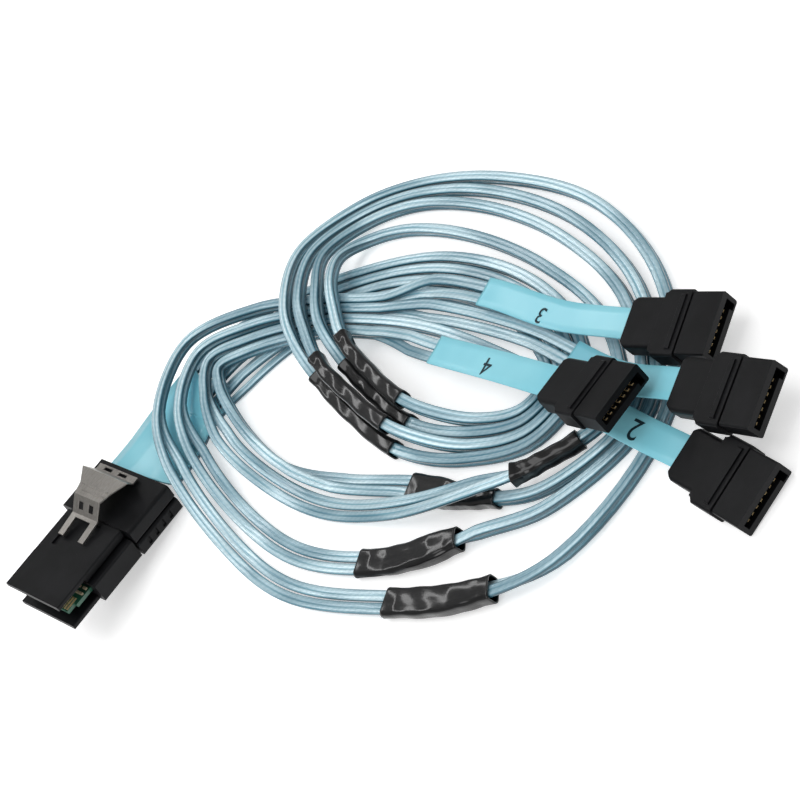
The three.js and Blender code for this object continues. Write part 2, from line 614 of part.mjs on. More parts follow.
CABLES.forEach((id, index) => {
  const route = new Route(cablePoints(index));
  routes[id] = route;
  const [inner, outer] = SLEEVES[id];
  assembly.add(group("cable_" + id, [
    meshOf("ribbon_" + id + "1", ribbon(route, 1), INSULATION),
    meshOf("ribbon_" + id + "2", ribbon(route, -1), INSULATION),
    meshOf("inner_sleeve_" + id, sleeve(route, inner), RUBBER),
    meshOf("outer_sleeve_" + id, sleeve(route, outer), RUBBER),
    meshOf("label_" + id, label(route, LABEL_LENGTHS[id]), PAPER),
  ]));
  assembly.add(group("sata_plug_" + id, [
    meshOf("housing_" + id, sataHousing(), BLACK),
    meshOf("cover_" + id, sataCover(), BLACK),
  ], id));
});
assembly.add(meshOf("host_label", hostLabel(), PAPER));

export default assembly;
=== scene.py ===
# %% [markdown]
# # A mini SAS breakout cable
# One wide latching plug feeds four cables. Each cable is a pair of flat ribbons that lie side by
# side near a plug and one over the other elsewhere. The whole bundle makes two loops on a table.
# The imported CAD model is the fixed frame, and every piece made here is fitted to it, in metres.

import json
import math

import bmesh
import bpy
from mathutils import Matrix, Vector

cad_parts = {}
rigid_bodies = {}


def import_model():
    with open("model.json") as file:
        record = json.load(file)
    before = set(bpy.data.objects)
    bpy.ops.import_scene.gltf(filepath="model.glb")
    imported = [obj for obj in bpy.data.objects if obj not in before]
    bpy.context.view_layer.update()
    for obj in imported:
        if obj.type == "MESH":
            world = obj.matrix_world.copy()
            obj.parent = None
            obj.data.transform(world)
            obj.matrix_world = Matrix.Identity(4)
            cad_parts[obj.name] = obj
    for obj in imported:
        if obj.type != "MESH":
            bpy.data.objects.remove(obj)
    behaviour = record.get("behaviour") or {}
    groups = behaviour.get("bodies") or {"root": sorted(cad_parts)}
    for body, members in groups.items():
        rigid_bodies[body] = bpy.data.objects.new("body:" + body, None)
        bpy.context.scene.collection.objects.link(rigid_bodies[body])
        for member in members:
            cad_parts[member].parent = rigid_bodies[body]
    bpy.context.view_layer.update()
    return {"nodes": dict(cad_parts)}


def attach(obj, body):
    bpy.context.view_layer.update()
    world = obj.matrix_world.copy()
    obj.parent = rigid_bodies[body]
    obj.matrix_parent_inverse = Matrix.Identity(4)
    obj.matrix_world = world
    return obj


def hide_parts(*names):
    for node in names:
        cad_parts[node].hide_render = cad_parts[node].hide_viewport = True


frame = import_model()

# %% [markdown]
# ## The camera
# The photograph is taken from about 37 degrees above the table with a long lens, and the object
# lies turned in the picture. Angles would be hard to read, so the camera is given its own three
# directions: to the right in the picture, down in it, and ahead.

# %% Camera
CAMERA_AT = Vector((-.0402, -.336, .218))
CAMERA_RIGHT = Vector((.4129, -.6452, -.6429))
CAMERA_DOWN = Vector((-.8776, -.0931, -.4702))
CAMERA_AHEAD = Vector((.2435, .7583, -.6047))
LENS = 81
SENSOR = 36

lens_data = bpy.data.cameras.new("camera")
lens_data.lens = LENS
lens_data.sensor_width = SENSOR
camera = bpy.data.objects.new("camera", lens_data)
bpy.context.collection.objects.link(camera)
axes = Matrix((CAMERA_RIGHT, -CAMERA_DOWN, -CAMERA_AHEAD)).transposed()
camera.matrix_world = Matrix.Translation(CAMERA_AT) @ axes.to_4x4()
bpy.context.scene.camera = camera
print("camera at", [round(v, 3) for v in camera.location])

# %% [markdown]
# ## Small helpers
# An operator acts on all that is selected, so each step starts by selecting only its own piece.
# A finished piece sits at the origin with its place in its mesh, as a CAD node does.

# %% Selecting, placing and handing over a piece


def only(*objects):
    """Select these objects and nothing else."""
    for obj in bpy.context.view_layer.objects:
        obj.select_set(False)
    for obj in objects:
        obj.select_set(True)
    bpy.context.view_layer.objects.active = objects[0]


def hand_over(piece, material, body="cable", hides=()):
    """Put the place into the mesh, dress the piece and tie it to its body."""
    only(piece)
    bpy.ops.object.transform_apply(location=True, rotation=True, scale=True)
    piece.data.materials.clear()
    piece.data.materials.append(material)
    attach(piece, body)
    if hides:
        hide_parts(*hides)


# %% [markdown]
# ## Shader maths as expressions
# A socket is wrapped in a small class, so that a mask can be written as 1 - a * b. Any other
# node comes from `node`, which sets the settings first and then the sockets.

# %% A shader's sockets as Python values
class Socket:
    """One output socket of a shader node, with the arithmetic that the materials use."""

    def __init__(self, tree, output):
        self.tree = tree
        self.output = output

    def _maths(self, operation, *values):
        return node(self.tree, "ShaderNodeMath", {"operation": operation}, values)

    def __add__(self, other):
        return self._maths("ADD", self, other)

    def __sub__(self, other):
        return self._maths("SUBTRACT", self, other)

    def __mul__(self, other):
        return self._maths("MULTIPLY", self, other)

    def __rsub__(self, other):
        return self._maths("SUBTRACT", other, self)

    __radd__ = __add__
    __rmul__ = __mul__

    def wave(self):
        """The sine of an angle in radians."""
        return self._maths("SINE", self)

    def between(self, low, high):
        """0 at low, 1 at high, smooth and held outside."""
        settings = {"interpolation_type": "SMOOTHSTEP"}
        sockets = {"Value": self, "From Min": low, "From Max": high}
        return node(self.tree, "ShaderNodeMapRange", settings, sockets)


def node(tree, kind, settings=None, sockets=(), output=0):
    """Add a node, set its settings, then its sockets by name or in order, and give one output."""
    made = tree.nodes.new(kind)
    for name, value in (settings or {}).items():
        setattr(made, name, value)
    pairs = sockets.items() if isinstance(sockets, dict) else enumerate(sockets)
    for key, value in pairs:
        if isinstance(value, Socket):
            tree.links.new(value.output, made.inputs[key])
        else:
            made.inputs[key].default_value = value
    return Socket(tree, made.outputs[output])


def other_output(socket, name):
    """Another output of the same node."""
    return Socket(socket.tree, socket.output.node.outputs[name])


def mix(tree, factor, first, second):
    """Mix two colours by a factor."""
    sockets = {0: factor, 6: first, 7: second}
    return node(tree, "ShaderNodeMix", {"data_type": "RGBA"}, sockets, output=2)


def new_material(name, **constants):
    """A material with one Principled shader, whose constant sockets are set directly."""
    made = bpy.data.materials.new(name)
    made.use_nodes = True
    shader = made.node_tree.nodes["Principled BSDF"]
    for key, value in constants.items():
        shader.inputs[key.replace("_", " ")].default_value = value
    return made, made.node_tree, shader


def feed(tree, shader, **links):
    """Link what varies over the surface into the shader."""
    for key, value in links.items():
        tree.links.new(value.output, shader.inputs[key.replace("_", " ")])


def bump(tree, height, strength, distance):
    sockets = {"Height": height, "Strength": strength, "Distance": distance}
    return node(tree, "ShaderNodeBump", None, sockets)


def object_place(tree, scale=(1, 1, 1)):
    """Object coordinates, stretched by a Mapping node."""
    place = node(tree, "ShaderNodeTexCoord", output=3)
    return node(tree, "ShaderNodeMapping", None, {"Vector": place, "Scale": scale})


def noise(tree, vector, scale, detail):
    sockets = {"Vector": vector, "Scale": scale, "Detail": detail}
    return node(tree, "ShaderNodeTexNoise", None, sockets)


# %% [markdown]
# ## The cables' way
# The bundle's route is a list of places, chosen from the photograph, with each cable's
# distance to the left of the bundle's middle, its height, and how far its pair is stacked. The
# CAD source holds the same list in millimetres.

# %% Rows of the bundle and the cables' own tails
BUNDLE = (
    (.0183, 0, (.0078, .0072, 0), (.0026, .0061, 0), (-.0026, .005, 0), (-.0078, .0039, 0)),
    (.026, .0005, (.0078, .005, 0), (.0026, .004, 0), (-.0026, .0029, 0), (-.0078, .0019, 0)),
    (.037, .002, (.0078, .0018, 0), (.0026, .0013, 0), (-.0026, .0008, 0), (-.0078, .00065, 0)),
    (.05, -.005, (.0078, .0013, 0.45), (.0026, .0013, 0.45), (-.0026, .0013, 0.45), (-.0078, .0013, 0.45)),
    (.0615, -.018, (.006, .0013, 0.8), (.002, .0013, 0.8), (-.002, .0013, 0.8), (-.006, .0013, 0.8)),
    (.0715, -.037, (.0042, .0013, 1), (.0014, .0013, 1), (-.0014, .0013, 1), (-.0042, .0013, 1)),
    (.0755, -.058, (.0042, .0013, 1), (.0014, .0013, 1), (-.0014, .0013, 1), (-.0042, .0013, 1)),
    (.073, -.08, (.0042, .0013, 1), (.0014, .0013, 1), (-.0014, .0013, 1), (-.0042, .0013, 1)),
    (.0655, -.097, (.0042, .0013, 1), (.0014, .0013, 1), (-.0014, .0013, 1), (-.0042, .0013, 1)),
    (.056, -.1055, (.0042, .0013, 1), (.0014, .0013, 1), (-.0014, .0013, 1), (-.0042, .0013, 1)),
    (.046, -.102, (.0042, .0013, 1), (.0014, .0013, 1), (-.0014, .0013, 1), (-.0042, .0013, 1)),
    (.041, -.089, (.0042, .0015, 1), (.0014, .0017, 1), (-.0014, .0015, 1), (-.0042, .0017, 1)),
    (.0405, -.073, (.0045, .002, 1), (.0015, .0054, 1), (-.0014, .002, 1), (-.0043, .0054, 1)),
    (.0455, -.0565, (.0046, .002, 1), (.0015, .006, 1), (-.0015, .002, 1), (-.0048, .006, 1)),
    (.0515, -.0425, (.0045, .0028, 1), (.0014, .0066, 1), (-.0023, .0042, 1), (-.0058, .0066, 1)),
    (.0575, -.034, (.005, .006, 1), (.0014, .0067, 1), (-.0026, .0069, 1), (-.0068, .0067, 1)),
    (.066, -.026, (.0062, .0066, 1), (.0021, .0066, 1), (-.0031, .0066, 1), (-.0072, .0066, 1)),
    (.077, -.021, (.0065, .0052, 1), (.0018, .0052, 1), (-.0024, .005, 1), (-.0078, .0048, 1)),
    (.0875, -.026, (.0048, .002, 1), (.0016, .0019, 1), (-.0016, .0019, 1), (-.0074, .002, 1)),
    (.0935, -.04, (.0042, .0013, 1), (.0014, .0013, 1), (-.0015, .0013, 1), (-.0078, .0013, 1)),
    (.094, -.063, (.0052, .0013, 1), (.0018, .0013, 1), (-.0019, .0013, 1), (-.0088, .0013, 1)),
    (.087, -.091, (.007, .0013, 1), (.002, .0013, 1), (-.0022, .0013, 1), (-.0088, .0013, 1)),
    (.0725, -.1145, (.006, .0013, 1), (.0016, .0013, 1), (-.0016, .0013, 1), (-.0068, .0013, 1)),
    (.052, -.1265, (.0056, .0013, 1), (.0016, .0013, 1), (-.0016, .0013, 1), (-.0058, .0018, 1)),
    (.031, -.1165, (.0105, .0019, 1), (-.001, .0014, 1), (-.005, .0015, 1), (-.0088, .0039, 1)),
    (.023, -.102, (.012, .0021, 0.6), (-.0005, .0021, 1), (-.0074, .002, 1), (-.0084, .0052, 0.5)),
    (.018, -.081, (.012, .0014, 0), (.0036, .0014, 0), (-.0118, .0014, 0), (-.0066, .0032, 0)),
    (.0155, -.057, (.0114, .00065, 0), (.0041, .00065, 0), (-.012, .0013, 0.5), (-.0066, .00065, 0)),
    (.019, -.036, (.0096, .0011, 0), (.0033, .0009, 0), (-.01, .0013, 1), (-.0058, .0009, 0)),
    (.027, -.0155, (.0072, .0062, 0.4), (.002, .004, 0.4), (-.0094, .0022, 1), (-.0048, .0031, 0.4)),
    (.038, -.001, (.0076, .0072, 1), (.0024, .0056, 1), (-.0086, .004, 1), (-.0044, .0044, 1)),
    (.05, .004, (.0078, .0048, 1), (.0016, .0044, 1), (-.0086, .0039, 1), (-.0034, .0039, 1)),
    (.057, -.009, (.006, .004, 1), (.0016, .004, 1), (-.0056, .004, 1), (-.0024, .004, 1)),
    (.062, -.029, (.0042, .004, 1), (.0014, .004, 1), (-.0042, .004, 1), (-.0014, .004, 1)),
    (.064, -.05, (.0042, .004, 1), (.0014, .004, 1), (-.0042, .004, 1), (-.0014, .004, 1)),
)
TAILS = {
    "a": ((.0714, -.062, .0042, 0.5), (.0702, -.08, .0048, 0), (.0662, -.1024, .0053, 0)),
    "b": ((.066, -.066, .0036, 0.4), (.0629, -.094, .0032, 0), (.0562, -.1195, .0036, 0)),
    "c": ((.0565, -.0724, .0057, 0.2), (.0539, -.094, .0069, 0)),
    "d": ((.0617, -.07, .004, 1), (.0558, -.099, .004, 1), (.05, -.117, .0048, 0), (.0466, -.13, .0036, 0)),
}

CABLES = "abcd"
GAP = .0003
RIBBON_WIDTH = .0023
RIBBON_THICK = .001
PAIR_SPREAD = (RIBBON_WIDTH + GAP) / 2
PAIR_RISE = (RIBBON_THICK + GAP) / 2
SATA_LENGTH = .0192
SATA_AXIS = -.00205
print("rows in the bundle:", len(BUNDLE))

# %% [markdown]
# Each plug lies where the CAD puts it. The same numbers turn a plug's own directions into the
# table's: x runs to its mating face, y to its left and z up from its top.

# %% Where the plugs lie
PLACES = {
    "host": ((-.016, -.0009, .0186), (180, -14.5, -12.8)),
    "a": ((.0662, -.1402, .0082), (-86.9, -.2, 2.7)),
    "b": ((.0532, -.1573, .0102), (-92.8, -3.7, 5.9)),
    "c": ((.049, -.1315, .0142), (-96.8, -8.3, -9.6)),
    "d": ((.0385, -.1598, .00465), (-106.3, -.2, 3.9)),
}


def place_of(plug):
    """The matrix from a plug's own directions to the table's."""
    at, (about_z, about_y, about_x) = PLACES[plug]
    turn = [Matrix.Rotation(math.radians(a), 4, axis)
            for a, axis in ((about_z, "Z"), (about_y, "Y"), (about_x, "X"))]
    return Matrix.Translation(at) @ turn[0] @ turn[1] @ turn[2]


print("host plug's nose at", [round(v, 4) for v in place_of("host").translation])

# %% [markdown]
# A cable's centre line is one smooth curve through its points. At every point the ribbons keep a
# level side, so a flat ribbon never rolls over.

# %% The route of one cable


def cable_points(index):
    """The bundle's rows moved sideways for one cable, then its own tail."""
    last = len(BUNDLE) - 1
    at = [Vector(row[:2]) for row in BUNDLE]
    points = []
    for i, row in enumerate(BUNDLE):
        into = at[i] - at[max(i - 1, 0)]
        out = at[min(i + 1, last)] - at[i]
        way = into * (out.length / (into.length or 1)) + out * (into.length / (out.length or 1))
        way = out if i == 0 else into if i == last else way
        way = way.normalized()
        left, height, stacked = row[2 + index]
        points.append((at[i].x - way.y * left, at[i].y + way.x * left, height, stacked))
    back = place_of(CABLES[index]) @ Vector((-SATA_LENGTH - 2 * GAP, 0, SATA_AXIS))
    return points + list(TAILS[CABLES[index]]) + [(*back, 0)]


class Route:
    """A centripetal curve through a cable's points, with a level frame at each place."""

    def __init__(self, rows):
        self.points = [Vector(row[:3]) for row in rows]
        self.stacking = [row[3] for row in rows]
        self.last = len(rows) - 1

    def _piece(self, row):
        row = min(max(row, 0), self.last)
        i = min(int(row), self.last - 1)
        p = self.points
        before = p[i - 1] if i else 2 * p[0] - p[1]
        after = p[i + 2] if i + 2 <= self.last else 2 * p[-1] - p[-2]
        return before, p[i], p[i + 1], after, row - i, i

    def place(self, row):
        """The point and the direction at a row number, which need not be whole."""
        p0, p1, p2, p3, t, _ = self._piece(row)
        d0, d1, d2 = ((b - a).length ** .5 for a, b in ((p0, p1), (p1, p2), (p2, p3)))
        start = ((p1 - p0) / d0 - (p2 - p0) / (d0 + d1) + (p2 - p1) / d1) * d1
        end = ((p2 - p1) / d1 - (p3 - p1) / (d1 + d2) + (p3 - p2) / d2) * d1
        c2 = 3 * (p2 - p1) - 2 * start - end
        c3 = 2 * (p1 - p2) + start + end
        point = p1 + t * (start + t * (c2 + t * c3))
        ahead = (start + t * (2 * c2 + 3 * t * c3)).normalized()
        return point, ahead

    def frame(self, row):
        """The point, level side, up, spread and rise of the pair at a row."""
        point, ahead = self.place(row)
        side = Vector((-ahead.y, ahead.x, 0)).normalized()
        *_, t, i = self._piece(row)
        stacked = self.stacking[i] * (1 - t) + self.stacking[i + 1] * t
        spread = PAIR_SPREAD * min(1, 2 - 2 * stacked)
        rise = PAIR_RISE * min(1, 2 * stacked)
        return point, side, ahead.cross(side), spread, rise

    def past_end(self, reach):
        """The last frame, carried a little further towards the plug."""
        point, side, up, spread, rise = self.frame(self.last)
        return point + side.cross(up) * reach, side, up, spread, rise

    def row_before(self, distance):
        """The row at a distance back from the cable's end."""
        row, here = self.last, self.points[-1]
        while distance > 0 and row > 0:
            row -= .05
            there = self.place(row)[0]
            distance -= (there - here).length
            here = there
        return row


def rows_from(start, end, count):
    return [start + (end - start) * i / count for i in range(count + 1)]


ROUTES = {name: Route(cable_points(i)) for i, name in enumerate(CABLES)}
print("points in each route:", {name: len(route.points) for name, route in ROUTES.items()})

# %% [markdown]
# A ribbon, a sleeve and a label are all one outline carried along a route. A curve with a bevel
# object would keep one outline, but these go from side by side to stacked and back, so the rings
# are placed by code. The mesh gets a UV map in metres, across the outline and along the cable,
# so that a pattern can follow it.

# %% Carry an outline along a route


def carry(name, frames, outline_at, closed_bore=None):
    """A closed mesh through one ring of points per frame, or a tube where there is a bore."""
    mesh = bmesh.new()
    uv = mesh.loops.layers.uv.new("lay")
    rings, along = [], [0]
    loops = [outline_at] if closed_bore is None else [outline_at, closed_bore]
    for loop in loops:
        ring_set = []
        for i, place in enumerate(frames):
            point, side, up = place[:3]
            ring = loop(place, i / (len(frames) - 1))
            ring_set.append([mesh.verts.new(point + side * s + up * u) for s, u in ring])
        rings.append(ring_set)
    for before, after in zip(frames, frames[1:]):
        along.append(along[-1] + (after[0] - before[0]).length)
    across = [0]
    outline = [Vector(p) for p in outline_at(frames[0], 0)]
    for a, b in zip(outline, outline[1:] + outline[:1]):
        across.append(across[-1] + (b - a).length)
    for ring_set in rings:
        size = len(ring_set[0])
        for r in range(len(ring_set) - 1):
            for k in range(size):
                n = (k + 1) % size
                face = mesh.faces.new((ring_set[r][k], ring_set[r][n],
                                       ring_set[r + 1][n], ring_set[r + 1][k]))
                us = (across[k], across[k + 1], across[k + 1], across[k])
                vs = (along[r], along[r], along[r + 1], along[r + 1])
                for corner, u, v in zip(face.loops, us, vs):
                    corner[uv].uv = (u, v)
    for end in (0, -1):
        if closed_bore is None:
            mesh.faces.new(rings[0][end])
            continue
        outer, inner = rings[0][end], rings[1][end]
        for k in range(len(outer)):
            n = (k + 1) % len(outer)
            mesh.faces.new((outer[k], outer[n], inner[n], inner[k]))
    bmesh.ops.recalc_face_normals(mesh, faces=mesh.faces)
    data = bpy.data.meshes.new(name)
    mesh.to_mesh(data)
    mesh.free()
    piece = bpy.data.objects.new(name, data)
    bpy.context.collection.objects.link(piece)
    for polygon in data.polygons:
        polygon.use_smooth = len(polygon.vertices) == 4
    return piece


# %% [markdown]
# ## The ribbons' finish
# Pale blue insulation lies thinly over two wires wrapped in bright foil. The foil shines through
# on the flat top, with painted highlight streaks along it, and a fine line marks the web between
# the wires. Both edges are painted dark blue as shade. A slow noise along each ribbon paints some
# stretches brighter and some bluer, as painted light and shade.

# %% Insulation
# The foil under the film, which is also the colour of painted highlight streaks.
FOIL_AND_PAINTED_GLINT = (.68, .87, .94, 1)
FILM = (.2, .45, .56, 1)
# Painted shade: the bluer colour of the stretches that are drawn as catching less light.
PAINTED_SHADE_BLUE = (.06, .21, .29, 1)
# Painted shade along both edges of each ribbon, near black.
PAINTED_EDGE_SHADE = (.014, .06, .09, 1)
WRAP_PITCH = .0016


def lay_of(tree):
    """Metres across and along the outline, from the UV map that `carry` makes."""
    uv = node(tree, "ShaderNodeUVMap", {"uv_map": "lay"})
    across = node(tree, "ShaderNodeSeparateXYZ", None, (uv,))
    return across, other_output(across, "Y")


def insulation():
    made, tree, shader = new_material(
        "ribbon_insulation", IOR=1.45, Coat_Weight=.5, Coat_Roughness=.06)
    across, along = lay_of(tree)
    wire = node(tree, "ShaderNodeAttribute", {"attribute_name": "wire"}, output=2)
    tone = node(tree, "ShaderNodeAttribute", {"attribute_name": "tone"}, output=2)
    lines_at = node(tree, "ShaderNodeCombineXYZ", None, (across * 2600, along * 55, tone * 9))
    lines = noise(tree, lines_at, 1.0, 2.0)
    slow_at = node(tree, "ShaderNodeCombineXYZ", None, (across * 160, along * 34, tone * 31))
    # A slow noise that paints some stretches lighter and some bluer, and their highlights stronger and
    # weaker, as painted light.
    painted_light_stretch = noise(tree, slow_at, 1.0, 2.0).between(.36, .64)
    wrap = ((along + across * .8) * (2 * math.pi / WRAP_PITCH)).wave() * .5 + .5
    bare = mix(tree, painted_light_stretch, PAINTED_SHADE_BLUE, FILM)
    # Painted shade: where the wire value falls towards the edges, the film goes near black blue.
    film = mix(tree, wire.between(.1, .5), PAINTED_EDGE_SHADE, bare)
    # The foil over the wires, plus painted highlight streaks where the line noise peaks.
    foil_with_painted_glints = (wire + (lines - .5) * .8).between(.45, .95) * (.35 + .65 * painted_light_stretch)
    colour = mix(tree, foil_with_painted_glints * (1 - .16 * wrap), film, FOIL_AND_PAINTED_GLINT)
    feed(tree, shader, Base_Color=colour, Metallic=foil_with_painted_glints * .25, Roughness=.16 + .2 * lines,
         Normal=bump(tree, lines + wrap * foil_with_painted_glints * .35, .22, .00006))
    return made


INSULATION = insulation()
print("insulation nodes:", len(INSULATION.node_tree.nodes))

# %% [markdown]
# ## The eight ribbons
# The section is nearly flat, with rounded edges and a shallow valley along the web between the
# two wires. Every point of it also says how near it is to a wire, for the insulation to read.
# Each ribbon runs from the clamp to its SATA plug.

# %% Ribbons
WIRE_STEPS = 7
EDGE_HEIGHT = .4
VALLEY_HEIGHT = .86
VALLEY_WIRE = .66
STEPS_PER_ROW = 8
END_REACH = .0004


def ribbon_outline():
    """The section: a row of (across, up, wire) points, where wire is 1 over a wire's middle."""
    half = RIBBON_WIDTH / 2
    top = []
    for sign in (1, -1):
        for i in range(WIRE_STEPS):
            turn = math.pi * (i + .5) / WIRE_STEPS
            crown = math.sin(turn)
            inner = math.cos(turn) * sign < 0
            least = VALLEY_HEIGHT if inner else EDGE_HEIGHT
            s = sign * half * .5 + half * .5 * math.cos(turn)
            u = RIBBON_THICK / 2 * (least + (1 - least) * crown)
            top.append((s, u, max(crown, VALLEY_WIRE) if inner else crown))
    bottom = [(-s, -u, wire) for s, u, wire in top]
    return top + bottom


SECTION = ribbon_outline()


def ribbon(name, route, which):
    """One ribbon of a pair: +1 lies to the left or above, -1 to the right or below."""
    frames = [route.frame(row) for row in rows_from(0, route.last, route.last * STEPS_PER_ROW)]
    frames.append(route.past_end(END_REACH))

    def outline(place, _share):
        *_, spread, rise = place
        return [(s + which * spread, u + which * rise) for s, u, _ in SECTION]

    piece = carry(name, frames, outline)
    wire = piece.data.attributes.new("wire", "FLOAT", "POINT")
    wire.data.foreach_set("value", [w for _ in frames for *_, w in SECTION])
    tone = piece.data.attributes.new("tone", "FLOAT", "POINT")
    own = sum(map(ord, name)) % 17 / 17
    tone.data.foreach_set("value", [own] * len(piece.data.vertices))
    path = [point + side * which * spread + up * which * rise
            for point, side, up, spread, rise in frames]
    return piece, path


def length_of(path):
    """The length of a row of points."""
    return sum((b - a).length for a, b in zip(path, path[1:]))


CORDS = []
ON_CABLE = {name: [] for name in CABLES}
for name, route in ROUTES.items():
    for number, which in ((1, 1), (2, -1)):
        node_name = f"ribbon_{name}{number}"
        piece, path = ribbon(f"flat_{node_name}", route, which)
        hand_over(piece, INSULATION, hides=[node_name])
        length_of(path)
        CORDS.append((piece, path, name, number))

# %% [markdown]
# ## Plastics, rubber, film and metal
# The plugs are near-black moulded plastic with a satin sheen and a very fine grain. The latch is
# sprung steel, brushed along its length. The sleeves are glossy rubber with folds, and the
# labels are a bright, slightly creased film. Each finish is two close colours and a noise that
# chooses between them, and its roughness varies a little too, because an even gloss looks false.

# %% Moulded plastic, board and metals


def moulded_plastic():
    made, tree, shader = new_material("black_plastic", IOR=1.46, Specular_IOR_Level=.2)
    place = object_place(tree)
    grain = noise(tree, place, 6000.0, 2.0)
    cloud = noise(tree, place, 160.0, 3.0)
    colour = mix(tree, cloud.between(.3, .75), (.003, .0032, .004, 1), (.008, .0083, .0095, 1))
    feed(tree, shader, Base_Color=colour, Roughness=.36 + .16 * cloud,
         Normal=bump(tree, grain, .12, .00003))
    return made


def circuit_board():
    made, tree, shader = new_material("circuit_board", Coat_Weight=.4)
    weave = noise(tree, object_place(tree), 900.0, 2.0)
    colour = mix(tree, weave, (.012, .085, .05, 1), (.02, .13, .075, 1))
    feed(tree, shader, Base_Color=colour, Roughness=.3 + .1 * weave)
    return made


def brushed_steel():
    made, tree, shader = new_material("latch_steel", Metallic=.85, Anisotropic=.4)
    streaks = noise(tree, object_place(tree, (260, 3200, 3200)), 1.0, 4.0)
    colour = mix(tree, streaks, (.2, .19, .178, 1), (.4, .38, .352, 1))
    feed(tree, shader, Base_Color=colour, Roughness=.28 + .2 * streaks,
         Normal=bump(tree, streaks, .15, .00004))
    return made


def gold():
    made, tree, shader = new_material("contact_gold", Metallic=.4)
    wear = noise(tree, object_place(tree), 1800.0, 2.0)
    colour = mix(tree, wear, (.95, .68, .3, 1), (1, .84, .5, 1))
    feed(tree, shader, Base_Color=colour, Roughness=.22 + .15 * wear)
    return made


def sleeve_rubber():
    made, tree, shader = new_material(
        "sleeve_rubber", IOR=1.4, Specular_IOR_Level=.2, Coat_Weight=.8, Coat_Roughness=.11)
    across, along = lay_of(tree)
    at = node(tree, "ShaderNodeCombineXYZ", None, (across * 900, along * 80, 0))
    folds = noise(tree, at, 1.0, 3.0)
    grain = noise(tree, object_place(tree), 1400.0, 2.0)
    # Painted shade: the fold noise that raises the bump also lightens the crests and darkens the troughs.
    colour = mix(tree, folds.between(.5, .8), (.002, .002, .0025, 1), (.012, .0115, .0115, 1))
    feed(tree, shader, Base_Color=colour, Roughness=.3 + .2 * grain,
         Normal=bump(tree, folds + grain * .1, .6, .0003))
    return made


def ink():
    made, tree, shader = new_material("label_ink", Specular_IOR_Level=.3)
    cloud = noise(tree, object_place(tree), 900.0, 2.0)
    colour = mix(tree, cloud, (.006, .02, .028, 1), (.02, .05, .065, 1))
    feed(tree, shader, Base_Color=colour, Roughness=.4 + .2 * cloud)
    return made


def ceramic():
    made, tree, shader = new_material("chip_ceramic")
    cloud = noise(tree, object_place(tree), 2600.0, 2.0)
    colour = mix(tree, cloud, (.42, .33, .2, 1), (.62, .55, .4, 1))
    feed(tree, shader, Base_Color=colour, Roughness=.35 + .2 * cloud)
    return made


def label_film():
    made, tree, shader = new_material("label_film", IOR=1.45, Coat_Weight=.35, Coat_Roughness=.1)
    place = object_place(tree)
    cloud = noise(tree, place, 70.0, 2.0)
    creases = noise(tree, place, 240.0, 4.0)
    colour = mix(tree, cloud.between(.3, .7), (.25, .7, .83, 1), (.32, .78, .9, 1))
    feed(tree, shader, Base_Color=colour, Roughness=.32 + .1 * creases,
         Normal=bump(tree, creases, .2, .00012))
    return made


PLASTIC = moulded_plastic()
BOARD = circuit_board()
STEEL = brushed_steel()
GOLD = gold()
RUBBER = sleeve_rubber()
FILM_BLUE = label_film()
INK = ink()
CERAMIC = ceramic()
print("materials:", [made.name for made in bpy.data.materials if made.use_nodes])

# %% [markdown]
# ## Sleeves and labels
# A shrunk rubber sleeve holds each pair twice on its way. Its section follows the pair, so it
# is narrow where the ribbons are stacked and wide where they lie side by side. It is open at
# both ends, and its outer skin is drawn in by creases, as rubber that shrank over two flat
# ribbons. A cloth simulation could crease it, but a few waves are enough at this size.

# %% Sleeves
SLEEVE_WALL = .0003
SLEEVES = {
    "a": ((12.1, 14.2), (24.75, 25.85)),
    "b": ((12.2, 14.2), (25.2, 26.3)),
    "c": ((12.1, 13.8), (24.75, 26.0)),
    "d": ((12.2, 14.1), (23.5, 24.35)),
}
SLEEVE_CORNER = 6
SLEEVE_FLAT = 4
SLEEVE_ROUND = .0008
SLEEVE_CREASES = .00034
SLEEVE_RINGS = 72


def sleeve_outline(wall, creases=0.0, start=0.0):
    """A loop round both ribbons with round sides. Creases draw the outer skin in, here and there."""
    def outline(place, share):
        *_, spread, rise = place
        w = spread + RIBBON_WIDTH / 2 + GAP + wall
        h = rise + RIBBON_THICK / 2 + GAP + wall
        radius = min(SLEEVE_ROUND + wall, h)
        corners = []
        for sx, sy, turn_start in ((1, 1, 0), (-1, 1, 90), (-1, -1, 180), (1, -1, 270)):
            for i in range(SLEEVE_CORNER + 1):
                turn = math.radians(turn_start + 90 * i / SLEEVE_CORNER)
                corners.append((sx * (w - radius), sy * (h - radius), turn))
            if sx * sy > 0:
                # The flat top or bottom, with its own points so that it can sink and fold.
                for i in range(1, SLEEVE_FLAT):
                    x = sx * (w - radius) * (1 - 2 * i / SLEEVE_FLAT)
                    corners.append((x, sy * (h - radius), math.radians(turn_start + 90)))
        points = []
        for x, y, turn in corners:
            # A slow wave and a lengthwise fold, which both die out towards the sleeve's ends.
            wave = math.sin(start + share * 19 + 900 * x) * math.sin(start * 2 + share * 7 - turn)
            fold = math.sin(1500 * x + start * 5 + 3 * share)
            pull = creases * (.5 + .3 * wave + .2 * fold) * min(1, 9 * share, 9 - 9 * share)
            points.append((x + (radius - pull) * math.cos(turn), y + (radius - pull) * math.sin(turn)))
        return points
    return outline


